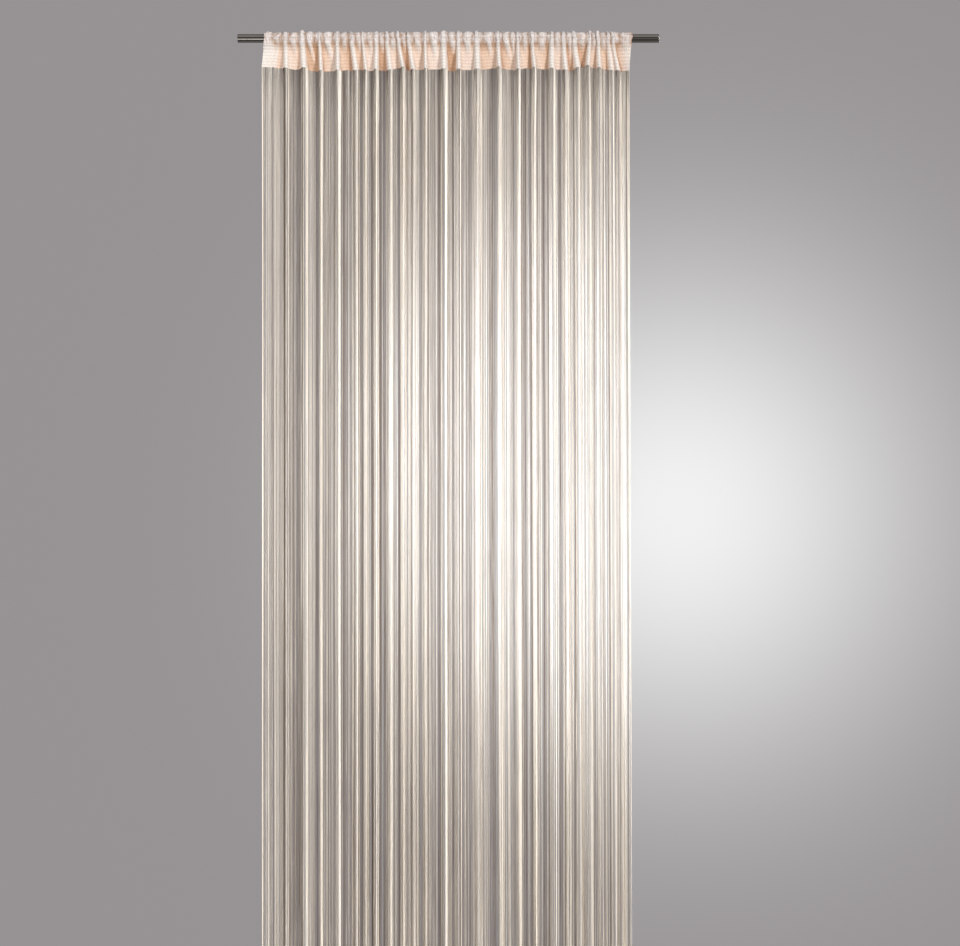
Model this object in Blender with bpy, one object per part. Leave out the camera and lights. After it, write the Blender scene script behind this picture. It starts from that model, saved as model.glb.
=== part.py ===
"""A string curtain gathered on a round rod, at its real size.

Three pieces: the rod, the woven heading band that wraps it as a pocket, and the strings, one comb that
hangs from the band's lower edge. Metres, +Z up, +X along the rod, -Y towards the room. The origin is on
the rod's axis, half way along it.
"""

import math
from typing import NamedTuple

import bmesh
import bpy
from mathutils import Vector

MM = 0.001

# The rod.
ROD_LENGTH = 1.000
ROD_RADIUS = 0.010
ROD_CHAMFER = 0.0006
ROD_SIDES = 48

# The curtain, gathered.
BAND_LEFT = -0.442
BAND_RIGHT = 0.434
CLOTH = 0.0015  # thickness of the band and of the comb
POCKET_SLACK = 0.0007  # from the rod to the pocket's inner wall, where the pocket is tightest
POCKET_SIDES = 8  # flats round the pocket's wall
NECK_ANGLE = math.radians(30.0)  # the pocket's wall meets the neck this far round from its lowest point
POCKET_TOP = ROD_RADIUS + POCKET_SLACK + CLOTH
NECK_Z = -0.0150  # the seam under the rod
BAND_LOWER_Z = -0.0780
LEFT_END_Y = -0.004  # the band's two ends curl forward of the rod's axis
RIGHT_END_Y = -0.006
SEAM_GAP = 0.0005  # straight down from the band to the comb, which leaves 0.3 mm where the edge slopes

# The strings.
SPINE_HEIGHT = 0.008
CURTAIN_LENGTH = 2.450  # from the top of the pocket to the string ends
COMB_LEVELS = 2  # lengths that each tooth is drawn out in
SLOT = 0.0030  # the gap between neighbouring teeth
WIDEST_TOOTH = 0.024
END_SPREAD = 0.009  # the right-hand string ends hang this much wider than the band
BACK_LOW, FRONT_LOW = 2, 3  # the lower corners of the spine's section
# The strings' drift across at their ends: amplitude in metres, waves per metre of width, and phase.
WAVES_ACROSS = ((0.0022, 2.7, 0.8), (0.0012, 6.5, 2.1))
WAVES_DEEP = ((0.0015, 4.6, 1.3),)

# How a fold is drawn, and how it grows from the neck to the lower edge.
FOLD_LINES = 5
NECK_DEPTH_SHARE = 0.22
NECK_WIDTH_SHARE = 0.75
SHOULDER_AT = 0.45  # where a fold's side turns into its crest, as a share of its half width
SHOULDER_DEPTH = 0.88
FOLD_LIFT = 0.22  # a fold's lower edge is drawn up by this share of its depth


class Fold(NamedTuple):
    """One forward fold of the band, in millimetres."""

    crest: float  # where its crest meets the lower edge, along X from the middle of the rod
    lean: float  # how far the crest wanders along X on its way down from the neck
    depth: float  # how far it stands forward at the lower edge
    half: float  # half its width at the lower edge
    back: float  # how far behind the rod's axis its feet hang at the lower edge
    puff: float  # how far the pocket stands off the rod above it
    next_puff: float  # how far it stands off the rod half way to the next fold


FOLDS = (
    #    crest   lean  depth  half  back  puff  next_puff
    Fold(-413.0, -2.0, 5.0, 4.5, 2.0, 0.8, 0.0),
    Fold(-385.0, 7.0, 11.0, 6.0, 3.0, 1.6, 1.1),
    Fold(-340.0, -5.0, 16.0, 5.0, 5.5, 3.0, 1.3),
    Fold(-303.0, 9.0, 18.0, 4.5, 3.0, 1.8, 1.5),
    Fold(-260.0, 5.0, 17.0, 5.0, 4.5, 2.4, 0.0),
    Fold(-235.0, -4.0, 8.0, 4.0, 2.0, 1.4, 0.0),
    Fold(-217.0, -5.0, 13.0, 5.5, 3.5, 1.2, 0.0),
    Fold(-196.0, 2.0, 15.0, 4.0, 5.0, 2.0, 0.9),
    Fold(-170.0, 3.0, 17.0, 5.0, 3.0, 1.6, 0.0),
    Fold(-141.0, -8.0, 11.0, 6.0, 1.5, 2.6, 1.2),
    Fold(-107.0, 12.0, 19.0, 4.5, 5.0, 1.5, 0.0),
    Fold(-83.0, 9.0, 14.0, 5.0, 4.0, 1.9, 1.0),
    Fold(-53.0, 1.0, 18.0, 4.0, 2.5, 1.4, 2.0),
    Fold(-8.0, 3.0, 18.0, 7.0, 6.0, 2.8, 0.8),
    Fold(21.0, 4.0, 16.0, 4.5, 4.0, 1.6, 1.8),
    Fold(70.0, -7.0, 16.0, 6.0, 2.0, 2.2, 0.0),
    Fold(92.0, -5.0, 8.0, 4.0, 3.0, 1.2, 0.0),
    Fold(118.0, 1.0, 18.0, 4.5, 5.5, 2.6, 1.4),
    Fold(165.0, 2.0, 18.0, 4.5, 2.5, 1.7, 0.0),
    Fold(190.0, -3.0, 11.0, 4.0, 4.5, 2.0, 0.0),
    Fold(204.0, 2.0, 16.0, 4.0, 5.5, 1.5, 1.3),
    Fold(241.0, -4.0, 16.0, 6.0, 3.0, 2.3, 0.9),
    Fold(279.0, 5.0, 14.0, 6.5, 4.5, 1.5, 0.0),
    Fold(305.0, -4.0, 16.0, 5.5, 2.5, 2.7, 0.0),
    Fold(328.0, -5.0, 16.0, 4.5, 4.0, 2.9, 0.0),
    Fold(357.0, 7.0, 14.0, 5.5, 5.5, 2.2, 0.0),
    Fold(400.0, 32.0, 12.0, 6.5, 3.0, 2.4, 0.0),
)


class Station(NamedTuple):
    """One line down the cloth, from the neck to the lower edge, in metres."""

    neck_x: float
    edge_x: float
    back: float  # how far behind the rod's axis the cloth hangs here, at the lower edge
    forward: float = 0.0  # how far a fold brings it forward from there
    puff: float = 0.0
    slot_after: bool = False  # True where the comb is open up to the next station


def clear_scene():
    """Empties the scene."""
    for ob in list(bpy.data.objects):
        bpy.data.objects.remove(ob)


def material(name, colour, roughness, metallic=0.0):
    """A plain Principled material."""
    mat = bpy.data.materials.new(name)
    mat.use_nodes = True
    shader = mat.node_tree.nodes["Principled BSDF"]
    shader.inputs["Base Color"].default_value = (*colour, 1.0)
    shader.inputs["Roughness"].default_value = roughness
    shader.inputs["Metallic"].default_value = metallic
    return mat


def extrude(bm, faces):
    """Extrudes faces, dropping those left inside. Returns the new vertices and faces."""
    edges = {edge for face in faces for edge in face.edges}
    made = bmesh.ops.extrude_face_region(bm, geom=[*faces, *edges])["geom"]
    verts = [v for v in made if isinstance(v, bmesh.types.BMVert)]
    return verts, [f for f in made if isinstance(f, bmesh.types.BMFace)]


def add_object(name, bm, mat):
    """Turns a bmesh into an object with its faces pointing out."""
    bmesh.ops.recalc_face_normals(bm, faces=bm.faces)
    mesh = bpy.data.meshes.new(name)
    bm.to_mesh(mesh)
    bm.free()
    mesh.materials.append(mat)
    ob = bpy.data.objects.new(name, mesh)
    bpy.context.scene.collection.objects.link(ob)
    return ob


def fold_stations(fold):
    """A fold's five lines: foot, shoulder, crest, shoulder and foot."""
    neck = (fold.crest - fold.lean) * MM
    edge = fold.crest * MM
    half = fold.half * MM
    sides = ((-1.0, 0.0), (-SHOULDER_AT, SHOULDER_DEPTH), (0.0, 1.0))
    sides += ((SHOULDER_AT, SHOULDER_DEPTH), (1.0, 0.0))
    return [
        Station(neck + at * half * NECK_WIDTH_SHARE, edge + at * half, fold.back * MM,
                rise * fold.depth * MM, rise * fold.puff * MM)
        for at, rise in sides
    ]


def flat_station(before, after, share, puff=0.0, slot_after=False):
    """A line on the flat cloth between two others."""
    neck, edge, back = (a + (b - a) * share for a, b in zip(before[:3], after[:3]))
    return Station(neck, edge, back, puff=puff, slot_after=slot_after)


def band_stations():
    """The band's lines at its ends and on its folds, from left to right."""
    lines = [Station(BAND_LEFT, BAND_LEFT, LEFT_END_Y)]
    for fold in FOLDS:
        lines += fold_stations(fold)
    lines.append(Station(BAND_RIGHT, BAND_RIGHT, RIGHT_END_Y))
    return lines


def with_puffs(lines):
    """The band's lines, with one more wherever the pocket puffs up between two folds."""
    whole = []
    for i, line in enumerate(lines):
        whole.append(line)
        is_right_foot = i > 0 and i % FOLD_LINES == 0
        if is_right_foot and (puff := FOLDS[i // FOLD_LINES - 1].next_puff):
            whole.append(flat_station(line, lines[i + 1], 0.5, puff=puff * MM))
    return whole


def with_slots(lines):
    """The comb's lines: the band's, with a slot on each side of every flat tooth."""
    comb = []
    for line, after in zip(lines, lines[1:]):
        comb.append(line)
        if line.forward or after.forward:
            continue
        width = after.edge_x - line.edge_x
        if width < 3.0 * SLOT:
            comb[-1] = line._replace(slot_after=True)
            continue
        at = 0.0
        if line is not lines[0]:
            comb[-1] = line._replace(slot_after=True)
            at = SLOT
            comb.append(flat_station(line, after, at / width))
        end = width if after is lines[-1] else width - SLOT
        teeth = math.ceil((end - at) / WIDEST_TOOTH)
        tooth = (end - at - (teeth - 1) * SLOT) / teeth
        for _ in range(teeth - 1):
            at += tooth
            comb.append(flat_station(line, after, at / width, slot_after=True))
            at += SLOT
            comb.append(flat_station(line, after, at / width))
        if after is not lines[-1]:
            comb.append(flat_station(line, after, end / width, slot_after=True))
    comb.append(lines[-1])
    return comb


def plan(lines, down):
    """The cloth's path seen from above, at a share of the way down from the neck.

    Returns (front, back) for each line: the two sides of the cloth, half a thickness to either side
    of its middle, mitred at the corners.
    """
    grown = NECK_DEPTH_SHARE + (1.0 - NECK_DEPTH_SHARE) * down
    middle = []
    for line in lines:
        x = line.neck_x + (line.edge_x - line.neck_x) * down
        y = line.back * down - line.forward * grown
        middle.append(Vector((x, y)))
    sides = []
    for i, point in enumerate(middle):
        before = (point - middle[i - 1]).normalized() if i else None
        after = (middle[i + 1] - point).normalized() if i < len(middle) - 1 else None
        before, after = before or after, after or before
        mean = (before + after).normalized()
        normal = Vector((-mean.y, mean.x))
        reach = 0.5 * CLOTH / mean.dot(after)
        sides.append((point - normal * reach, point + normal * reach))
    return sides


def sweep(bm, sections, faces, slot):
    """Extrudes a section along a row of places, which leaves one closed solid.

    sections holds the points of each place in the same order, faces says which of them make up the
    section, and slot is the layer that keeps each vertex's place and number.
    """
    per_place = len(sections[0])
    verts = [bm.verts.new(co) for co in sections[0]]
    for number, vert in enumerate(verts):
        vert[slot] = number
    region = [bm.faces.new([verts[i] for i in face]) for face in faces]
    for place, section in enumerate(sections[1:], 1):
        moved, region = extrude(bm, region)
        for vert in moved:
            number = vert[slot] % per_place
            vert.co = section[number]
            vert[slot] = place * per_place + number


def build_rod():
    """The rod: a round bar, cut square, its edges just broken."""
    bm = bmesh.new()
    bmesh.ops.create_cone(bm, cap_ends=True, segments=ROD_SIDES, radius1=ROD_RADIUS,
                          radius2=ROD_RADIUS, depth=ROD_LENGTH)
    ends = [e for e in bm.edges if len({round(v.co.z, 6) for v in e.verts}) == 1]
    bmesh.ops.bevel(bm, geom=ends, offset=ROD_CHAMFER, segments=1, profile=0.5,
                    affect="EDGES", material=-1)
    turn = Vector((0.0, 0.0, 1.0)).rotation_difference(Vector((1.0, 0.0, 0.0))).to_matrix()
    bmesh.ops.rotate(bm, cent=(0.0, 0.0, 0.0), matrix=turn, verts=bm.verts)
    rod = add_object("rod", bm, material("polished_steel", (0.30, 0.28, 0.26), 0.18, 1.0))
    rod.data.shade_smooth()
    rod.data.set_sharp_from_angle(angle=math.radians(35.0))


def pocket_points(line, radius, angles):
    """Points round the rod on one line. Angles run from straight down, by way of the front."""
    points = []
    for angle in angles:
        reach = radius + line.puff * math.sin(angle / 2.0)
        points.append(Vector((line.neck_x, -reach * math.sin(angle), -reach * math.cos(angle))))
    return points


def band_section(line, rows):
    """The points of the band's section on one line: pocket outside, pocket inside, then the skirt."""
    step = 2.0 * math.pi / POCKET_SIDES
    open_step = (2.0 * math.pi - 2.0 * NECK_ANGLE) / POCKET_SIDES
    inner = (ROD_RADIUS + POCKET_SLACK) / math.cos(step / 2.0)
    outside = [NECK_ANGLE + open_step * i for i in range(POCKET_SIDES + 1)]
    inside = [step * i for i in range(POCKET_SIDES)]
    points = pocket_points(line, inner + CLOTH, outside) + pocket_points(line, inner, inside)
    for z, (front, back) in rows:
        points += [Vector((*front, z)), Vector((*back, z))]
    return points


def band_faces(row_count):
    """Which points make up the band's section: the pocket's wall, the neck and the skirt."""
    outside = list(range(POCKET_SIDES + 1))
    inside = [len(outside) + i for i in range(POCKET_SIDES)]
    skirt = len(outside) + len(inside)
    ring = inside + inside[:1]
    faces = [(outside[i], outside[i + 1], ring[i + 1], ring[i]) for i in range(len(inside))]
    faces.append((skirt, outside[0], ring[0], outside[-1], skirt + 1))
    for row in range(row_count - 1):
        a = skirt + 2 * row
        faces.append((a + 2, a, a + 1, a + 3))
    return faces


def lower_edge_z(line):
    """The height of the band's lower edge on one line."""
    return BAND_LOWER_Z + FOLD_LIFT * line.forward


def build_band():
    """The heading band: a rod pocket, a sewn neck and a skirt in folds."""
    lines = with_puffs(band_stations())
    shares = (0.0, 1.0)
    plans = [plan(lines, share) for share in shares]
    sections = []
    for i, line in enumerate(lines):
        drop = lower_edge_z(line) - NECK_Z
        rows = [(NECK_Z + drop * share, sides[i]) for share, sides in zip(shares, plans)]
        sections.append(band_section(line, rows))
    bm = bmesh.new()
    slot = bm.verts.layers.int.new("slot")
    sweep(bm, sections, band_faces(len(shares)), slot)
    add_object("heading_band", bm, material("woven_polyester", (0.88, 0.77, 0.64), 0.75))


def wave(x, waves):
    """A sum of sines along X."""
    return sum(size * math.sin(2.0 * math.pi * often * x + phase) for size, often, phase in waves)


def sway(x, down):
    """How far the strings drift along X and Y, down being 0 at the spine and 1 at their ends."""
    share = (x - BAND_LEFT) / (BAND_RIGHT - BAND_LEFT)
    across = END_SPREAD * share**2 + wave(x, WAVES_ACROSS)
    return Vector((across * down, wave(x, WAVES_DEEP) * down))


def build_comb():
    """The strings: a spine along the band's lower edge, and teeth that hang from it."""
    lines = with_slots(band_stations())
    sides = plan(lines, 1.0)
    top = [lower_edge_z(line) - SEAM_GAP for line in lines]
    spine_z = min(top) - SPINE_HEIGHT
    sections = [
        [Vector((*front, high)), Vector((*back, high)), Vector((*back, spine_z)),
         Vector((*front, spine_z))]
        for (front, back), high in zip(sides, top)
    ]
    corners = len(sections[0])
    bm = bmesh.new()
    slot = bm.verts.layers.int.new("slot")
    sweep(bm, sections, [tuple(range(corners))], slot)
    open_after = {i for i, line in enumerate(lines) if line.slot_after}
    teeth = []
    for face in bm.faces:
        places = {v[slot] // corners for v in face.verts}
        underside = all(v[slot] % corners in (BACK_LOW, FRONT_LOW) for v in face.verts)
        if underside and len(places) == 2 and min(places) not in open_after:
            teeth.append(face)
    ends_z = POCKET_TOP - CURTAIN_LENGTH
    for level in range(1, COMB_LEVELS + 1):
        down = level / COMB_LEVELS
        moved, teeth = extrude(bm, teeth)
        for vert in moved:
            front, back = sides[vert[slot] // corners]
            side = back if vert[slot] % corners == BACK_LOW else front
            drift = sway(side.x, down)
            vert.co = (*(side + drift), spine_z + (ends_z - spine_z) * down)
    add_object("string_comb", bm, material("polyester_yarn", (0.90, 0.84, 0.74), 0.7))


def main():
    """Builds the whole part."""
    clear_scene()
    build_rod()
    build_band()
    build_comb()


main()
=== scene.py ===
"""The looks of a string curtain gathered on a polished steel rod.

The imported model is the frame: the rod, the heading band and the comb of strings keep the places and
sizes that it gives them. This script makes what is seen: the turned rod, the knitted band as a thin
sheet in its folds, and every single string.

Metres, +Z up, +X along the rod, -Y towards the room. The origin is on the rod's axis.
"""

import logging
import math
from dataclasses import dataclass, field
from enum import Enum
from functools import partial
from typing import Any, Callable, NamedTuple

import bmesh
import bpy
import numpy as np
from bmesh.types import BMesh
from bpy.types import Material, Mesh, Node, NodeSocket, NodeTree, Object, Scene
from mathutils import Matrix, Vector


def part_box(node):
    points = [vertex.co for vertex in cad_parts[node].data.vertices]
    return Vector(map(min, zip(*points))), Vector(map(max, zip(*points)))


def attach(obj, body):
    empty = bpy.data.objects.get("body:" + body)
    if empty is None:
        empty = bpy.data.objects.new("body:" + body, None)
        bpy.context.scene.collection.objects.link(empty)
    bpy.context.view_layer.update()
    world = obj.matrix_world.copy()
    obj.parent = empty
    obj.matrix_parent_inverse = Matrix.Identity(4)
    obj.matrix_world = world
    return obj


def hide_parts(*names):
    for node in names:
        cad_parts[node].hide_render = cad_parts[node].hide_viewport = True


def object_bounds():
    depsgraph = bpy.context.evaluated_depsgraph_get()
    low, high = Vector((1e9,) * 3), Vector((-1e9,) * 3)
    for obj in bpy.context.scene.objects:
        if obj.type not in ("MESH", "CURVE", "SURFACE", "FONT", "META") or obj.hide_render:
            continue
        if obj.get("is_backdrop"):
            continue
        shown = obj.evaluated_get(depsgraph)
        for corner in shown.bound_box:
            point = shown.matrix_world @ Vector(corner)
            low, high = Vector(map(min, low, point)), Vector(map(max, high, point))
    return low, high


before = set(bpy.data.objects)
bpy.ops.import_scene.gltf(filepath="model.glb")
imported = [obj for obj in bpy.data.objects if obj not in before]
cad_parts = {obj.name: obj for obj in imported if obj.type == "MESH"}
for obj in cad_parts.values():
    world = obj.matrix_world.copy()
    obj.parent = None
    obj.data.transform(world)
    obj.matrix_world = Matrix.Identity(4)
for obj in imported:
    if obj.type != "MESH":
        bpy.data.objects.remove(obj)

log = logging.getLogger("string_curtain")

MM = 0.001
BODY = "root"
YARN_MAP = "OFBake"  # every string's own narrow strip of one square map
CLOTH_MAP = "cloth"  # the band laid flat, in metres
NOISE_KNOTS = 4096  # before a noise repeats
# A smooth curve through knots: what each of four knots gives, by powers of the way between them
CURVE = np.array([[0, -1, 2, -1], [2, 0, -5, 3], [0, 1, 4, -3], [0, 0, -1, 1]]) / 2.0
Array = np.ndarray
Pair = tuple[float, float]
Triple = tuple[float, float, float]
AddNode = Callable[..., Node]


class Fold(NamedTuple):
    """One fold of the skirt, in millimetres."""

    crest: float  # where its crest meets the lower edge, along X
    lean: float  # how far it has wandered along X on its way down from the neck
    depth: float  # how far it stands forward at the lower edge
    half: float  # half its width there
    back: float  # how far behind the rod's axis the cloth lies at its left foot
    next_back: float  # and at its right foot
    puff: float  # how far the pocket rises above it
    lift: float  # how far it draws the lower edge up
    next_lift: float  # how far the edge is drawn up half way to the next fold


FOLDS = tuple(Fold(*map(float, row)) for row in (
    (-411, -8, 3, 5.7, -4.5, 3, 2.2, 8, 7), (-385, 1, 12, 7.7, 2, -0.5, 2.6, 6, 4),
    (-342, 4, 16, 9.7, 4, 5, 5.6, 7, 1), (-302, 3, 17, 5.7, 6, 4.5, 3.6, 0.5, 0),
    (-262, 1, 16, 6.7, 0.5, 3, 3.2, 0.5, 4), (-219, 9, 14, 8.7, 6, 4, 2.4, 0.5, 4),
    (-196.5, 5.5, 13, 5.2, 5, 0, 3.2, 2, 0), (-171, -1, 16, 7.2, 0.5, 5.5, 3.6, 3, 3),
    (-139, 6, 13, 7.7, 6, 0, 3, 1, 7), (-107.5, 10, 18, 6.7, 3.5, 5, 5.2, 8, 3),
    (-84, 9, 15, 7.2, 6.5, 1, 3.6, 3, 3), (-54, 1, 17, 5.2, 3.5, 0, 4.2, 4, 4),
    (-9, 2, 18, 9.7, -0.5, 5.5, 6, 3, 1), (24, 0, 16, 7.2, 6.5, 0.5, 4.2, 3, 3),
    (70, 2, 16, 9.2, 0, 4, 4.6, 3, 6), (121, 3, 18, 6.7, 3, 5, 4.8, 9, 4),
    (166, 1, 17, 5.7, 2.5, 0, 3.4, 3, 8), (204, 5, 16, 6.2, 6.5, 1, 4.8, 7, 5),
    (245, 0, 15, 8.7, 5.5, 0.5, 3.4, 5, 4), (279, 5.5, 15, 7.7, 1, 5.5, 3.2, 1, 2),
    (307, 8, 15, 9.2, 5, 5.5, 5.2, 8, 11), (330.5, -4, 16, 6.7, 5.5, 1, 5.4, 12, 8),
    (358, 2.5, 15, 6.7, 5, 2, 5.2, 7, 5), (386, 7, 8, 7.2, 5.5, -1.5, 3.2, 1.5, 1),
    (404, 13, 10, 6.2, -1, 5.5, 3.6, 1, 0),
))


class Tuck(NamedTuple):
    """A short fold that starts in the neck and dies out before the lower edge, in millimetres."""

    top: float  # where it leaves the neck, along X
    lean: float  # how far it wanders along X on its way down
    depth: float  # how far it stands forward at the neck
    half: float  # half its width at the neck
    reach: float  # the share of the skirt's height at which it has gone


TUCKS = tuple(Tuck(*map(float, row)) for row in (
    (-428, 0, 3, 17, 0.7), (-366, 7, 2.6, 7, 0.6), (-328, 15, 4.2, 5.5, 0.9), (-285, 13, 4.6, 8, 0.75),
    (-246, 3, 2.4, 6, 0.35), (-211, 6, 2.4, 5, 0.5), (-184, 3, 2.4, 5, 0.4), (-157, 5, 2.6, 5, 0.4),
    (-131, 6, 3.2, 7, 0.35), (-104, 6, 2, 4, 0.4), (-72, 10, 3, 8, 0.45), (-33, 5, 4.6, 8, 0.72),
    (11, 10, 3.6, 7, 0.5), (46, 4, 4, 8, 0.5), (97, 9, 3.8, 6, 0.62), (139, 14, 4.2, 7.5, 0.8),
    (153, 9, 3, 4, 0.9), (182, 6, 2.6, 6, 0.5), (222, 8, 3, 8, 0.4), (259, 2, 2.2, 6, 0.5),
    (288, 6, 3, 4.5, 0.8), (317, 2, 2.4, 6, 0.35), (345, 3, 2.4, 5, 0.4), (368, 6, 2.4, 6, 0.35),
    (421, 3, 2.2, 12, 0.5),
))


class Line(NamedTuple):
    """A place where neighbouring strings hang together in one bright line, in millimetres."""

    place: float  # along X, just below the band
    half: float  # half the width that it draws strings from
    pull: float  # how much of the way they are drawn to it


LINES = tuple(Line(*map(float, row)) for row in (
    (-438.5, 5, 0.7), (-420, 3, 0.6), (-403, 3, 0.6), (-384, 4, 0.5), (-343, 3.5, 0.7), (-335, 4, 0.75),
    (-302, 7, 0.75), (-258, 7, 0.75), (-237, 3.5, 0.7), (-218, 6, 0.5), (-196.5, 4.5, 0.75),
    (-171, 6, 0.75), (-139, 6, 0.4), (-123, 3, 0.7), (-107, 6, 0.8), (-99, 3, 0.5), (-83, 3.5, 0.7),
    (-54, 5, 0.8), (-45, 3, 0.5), (-6.5, 6, 0.75), (5.5, 3, 0.6), (21.5, 6, 0.75), (38, 3, 0.7),
    (56, 3, 0.7), (70, 5.5, 0.8), (89.5, 3, 0.7), (118.5, 7, 0.8), (141, 3, 0.5), (165.5, 6, 0.8),
    (190, 3.5, 0.75), (204, 6, 0.8), (242, 6, 0.5), (253, 3, 0.7), (278, 5, 0.5), (287, 3, 0.7),
    (308.5, 5.5, 0.75), (318, 3, 0.7), (325.5, 4, 0.75), (353, 5, 0.75), (370, 4, 0.7), (391.5, 4.5, 0.6),
    (413, 5, 0.5),
))


class Wander(NamedTuple):
    """One scale on which a measure wanders from string to string and on the way down."""

    grain: float  # along the band, in millimetres
    turns: float  # how often it changes on the way down
    amount: float
    seed: int

    def at(self, place: Array, down: Array | float = 0.0) -> Array:
        """What it adds to the measure."""
        knots = np.stack([place / (self.grain * MM), down * self.turns + place * 0.0], axis=1)
        return self.amount * soft_noise(knots, self.seed)


class Slot(Enum):
    """The finishes that the record names."""

    ROD = "polished_steel"
    BAND = "woven_polyester"
    YARN = "polyester_yarn"


# ---- Small helpers ----


def srgb(hex_colour: str) -> tuple[float, float, float, float]:
    """Turns an sRGB hex colour into the linear colour that a shader takes.

    Args:
        hex_colour: Six hex digits, with or without a leading #.

    Returns:
        Linear red, green and blue, and an alpha of 1.
    """
    digits = hex_colour.lstrip("#")
    channels = [int(digits[i:i + 2], 16) / 255.0 for i in (0, 2, 4)]
    linear = [c / 12.92 if c <= 0.04045 else ((c + 0.055) / 1.055) ** 2.4 for c in channels]
    return (*linear, 1.0)


def held(values: Array) -> Array:
    """Keeps values between 0 and 1."""
    return np.clip(values, 0.0, 1.0)


def smooth(values: Array) -> Array:
    """Eases 0 to 1, with a level start and end."""
    return held(values) ** 2 * (3.0 - 2.0 * held(values))


def soft_noise(at: Array, seed: int) -> Array:
    """Smooth noise from -1 to 1 over two axes, the same on each run.

    Args:
        at: Places, one per row, in units of the noise's own grain.
        seed: Which noise.

    Returns:
        One value for each row.
    """
    knots = np.random.default_rng(seed).uniform(-1.0, 1.0, NOISE_KNOTS)
    whole = np.floor(at).astype(np.int64)
    part = smooth(at - whole)

    def knot(right: int, up: int) -> Array:
        """The knot at one corner of each place's cell: primes scatter the cells over the knots."""
        key = ((whole[:, 0] + right) * 1619 + whole[:, 1] + up) * 31 + 7
        return knots[(key * 2654435761 >> 7) % NOISE_KNOTS]

    low = knot(0, 0) * (1.0 - part[:, 0]) + knot(1, 0) * part[:, 0]
    high = knot(0, 1) * (1.0 - part[:, 0]) + knot(1, 1) * part[:, 0]
    return low * (1.0 - part[:, 1]) + high * part[:, 1]


def feed(node: Node, *numbered: Any, **named: Any) -> None:
    """Links or sets a node's inputs.

    Args:
        node: The node.
        numbered: What its first inputs get: another node's output, a node for its first output
            in use, or a value.
        named: What other inputs in use get, by their names with _ for a space.
    """
    by_name = {socket.name: socket for socket in node.inputs if socket.enabled}
    pairs = [*zip(node.inputs, numbered),
             *((by_name[name.replace("_", " ")], value) for name, value in named.items())]
    for socket, value in pairs:
        if isinstance(value, Node):
            value = next(output for output in value.outputs if output.enabled)
        if isinstance(value, NodeSocket):
            node.id_data.links.new(value, socket)
        else:
            socket.default_value = value


def add_node(tree: NodeTree, kind: str, *numbered: Any, **named: Any) -> Node:
    """Adds a node, sets it up and links it.

    Args:
        tree: The node tree of a material or the world.
        kind: The node's type name, without its "ShaderNode".
        numbered: What its first inputs get.
        named: Names with a capital are inputs, the others are the node's own settings.

    Returns:
        The new node.
    """
    node = tree.nodes.new("ShaderNode" + kind)
    for name in [name for name in named if name.islower()]:
        setattr(node, name, named.pop(name))
    feed(node, *numbered, **named)
    return node


def new_material(name: str) -> tuple[Material, AddNode, Node]:
    """Makes a material that holds one Principled shader.

    Args:
        name: What the real material is.

    Returns:
        The material, the function that adds its nodes, and its shader.
    """
    mat = bpy.data.materials.new(name)
    mat.use_nodes = True
    return mat, partial(add_node, mat.node_tree), mat.node_tree.nodes["Principled BSDF"]


def put(name: str, data: bpy.types.ID) -> Object:
    """Makes an object and puts it into the scene.

    Args:
        name: The object's name.
        data: Its mesh, lamp or camera.

    Returns:
        The object.
    """
    made = bpy.data.objects.new(name, data)
    bpy.context.scene.collection.objects.link(made)
    return made


def add_piece(name: str, mesh: Mesh, mat: Material, stands_for: str) -> Object:
    """Puts a finished mesh into the scene as a piece of the object.

    Args:
        name: The piece's name.
        mesh: Its mesh, already in its place.
        mat: Its finish.
        stands_for: The CAD node that it replaces.

    Returns:
        The piece.
    """
    mesh.name = name
    mesh.materials.append(mat)
    piece = put(name, mesh)
    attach(piece, BODY)
    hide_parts(stands_for)
    log.info("%s: %d faces", name, len(mesh.polygons))
    return piece


def as_mesh(bm: BMesh, name: str) -> Mesh:
    """Turns a bmesh into a mesh.

    Args:
        bm: The shape, which is freed.
        name: The mesh's name.

    Returns:
        The mesh.
    """
    mesh = bpy.data.meshes.new(name)
    bm.to_mesh(mesh)
    bm.free()
    return mesh


def modified(mesh: Mesh, kind: str, **settings: Any) -> Mesh:
    """Applies a modifier.

    Args:
        mesh: The shape, which is removed.
        kind: The modifier's type.
        settings: Its settings.

    Returns:
        The finished mesh.
    """
    work = put("work", mesh)
    modifier = work.modifiers.new("work", kind)
    for name, value in settings.items():
        setattr(modifier, name, value)
    graph = bpy.context.evaluated_depsgraph_get()
    done = bpy.data.meshes.new_from_object(work.evaluated_get(graph), depsgraph=graph)
    bpy.data.objects.remove(work)
    bpy.data.meshes.remove(mesh)
    return done


def get_places(mesh: Mesh) -> Array:
    """Reads where a mesh's vertices are.

    Args:
        mesh: The mesh.

    Returns:
        A place for each vertex.
    """
    flat = np.empty(len(mesh.vertices) * 3, dtype=np.float32)
    mesh.vertices.foreach_get("co", flat)
    return flat.reshape(-1, 3).astype(np.float64)


def set_places(mesh: Mesh, places: Array) -> None:
    """Moves a mesh's vertices, given one per row."""
    mesh.vertices.foreach_set("co", places.astype(np.float32).ravel())
    mesh.update()


def set_map(mesh: Mesh, name: str, points: Array) -> None:
    """Writes a UV map from one point for each vertex.

    Args:
        mesh: The mesh.
        name: The map's name.
        points: A U and a V for each vertex.
    """
    corners = np.empty(len(mesh.loops), dtype=np.int32)
    mesh.loops.foreach_get("vertex_index", corners)
    layer = mesh.uv_layers.get(name) or mesh.uv_layers.new(name=name)
    layer.data.foreach_set("uv", points[corners].astype(np.float32).ravel())


def set_values(mesh: Mesh, name: str, values: Array) -> None:
    """Writes one number for each vertex as an attribute."""
    layer = mesh.attributes.new(name, "FLOAT", "POINT")
    layer.data.foreach_set("value", values.astype(np.float32))


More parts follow.
